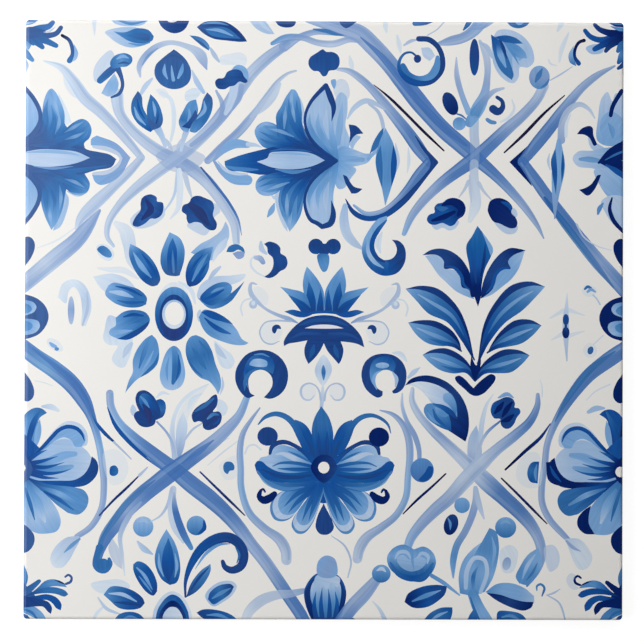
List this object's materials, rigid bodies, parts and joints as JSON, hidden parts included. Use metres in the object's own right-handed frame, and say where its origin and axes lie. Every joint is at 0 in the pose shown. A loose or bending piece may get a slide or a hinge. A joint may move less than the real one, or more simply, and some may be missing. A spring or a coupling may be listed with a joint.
{
  "type": "delft tile",
  "caption": "Square glazed earthenware wall tile with a softly rolled face edge, an undercut back edge and a keyed back, decorated with a blue and white floral trellis.",
  "frame": {"origin": "centre of the bedding plane on the tile's back, which the ribs and the rim share", "axes": "+Z out of the glazed face, +Y to the top of the picture, +X to its right"},
  "size_m": [0.1524, 0.1524, 0.007],
  "materials": {
    "decorated_glaze": "glossy white glaze with cobalt blue decoration on the face, bare cream biscuit on the back"
  },
  "bodies": {
    "root": {"tile": "decorated_glaze"}
  },
  "joints": []
}
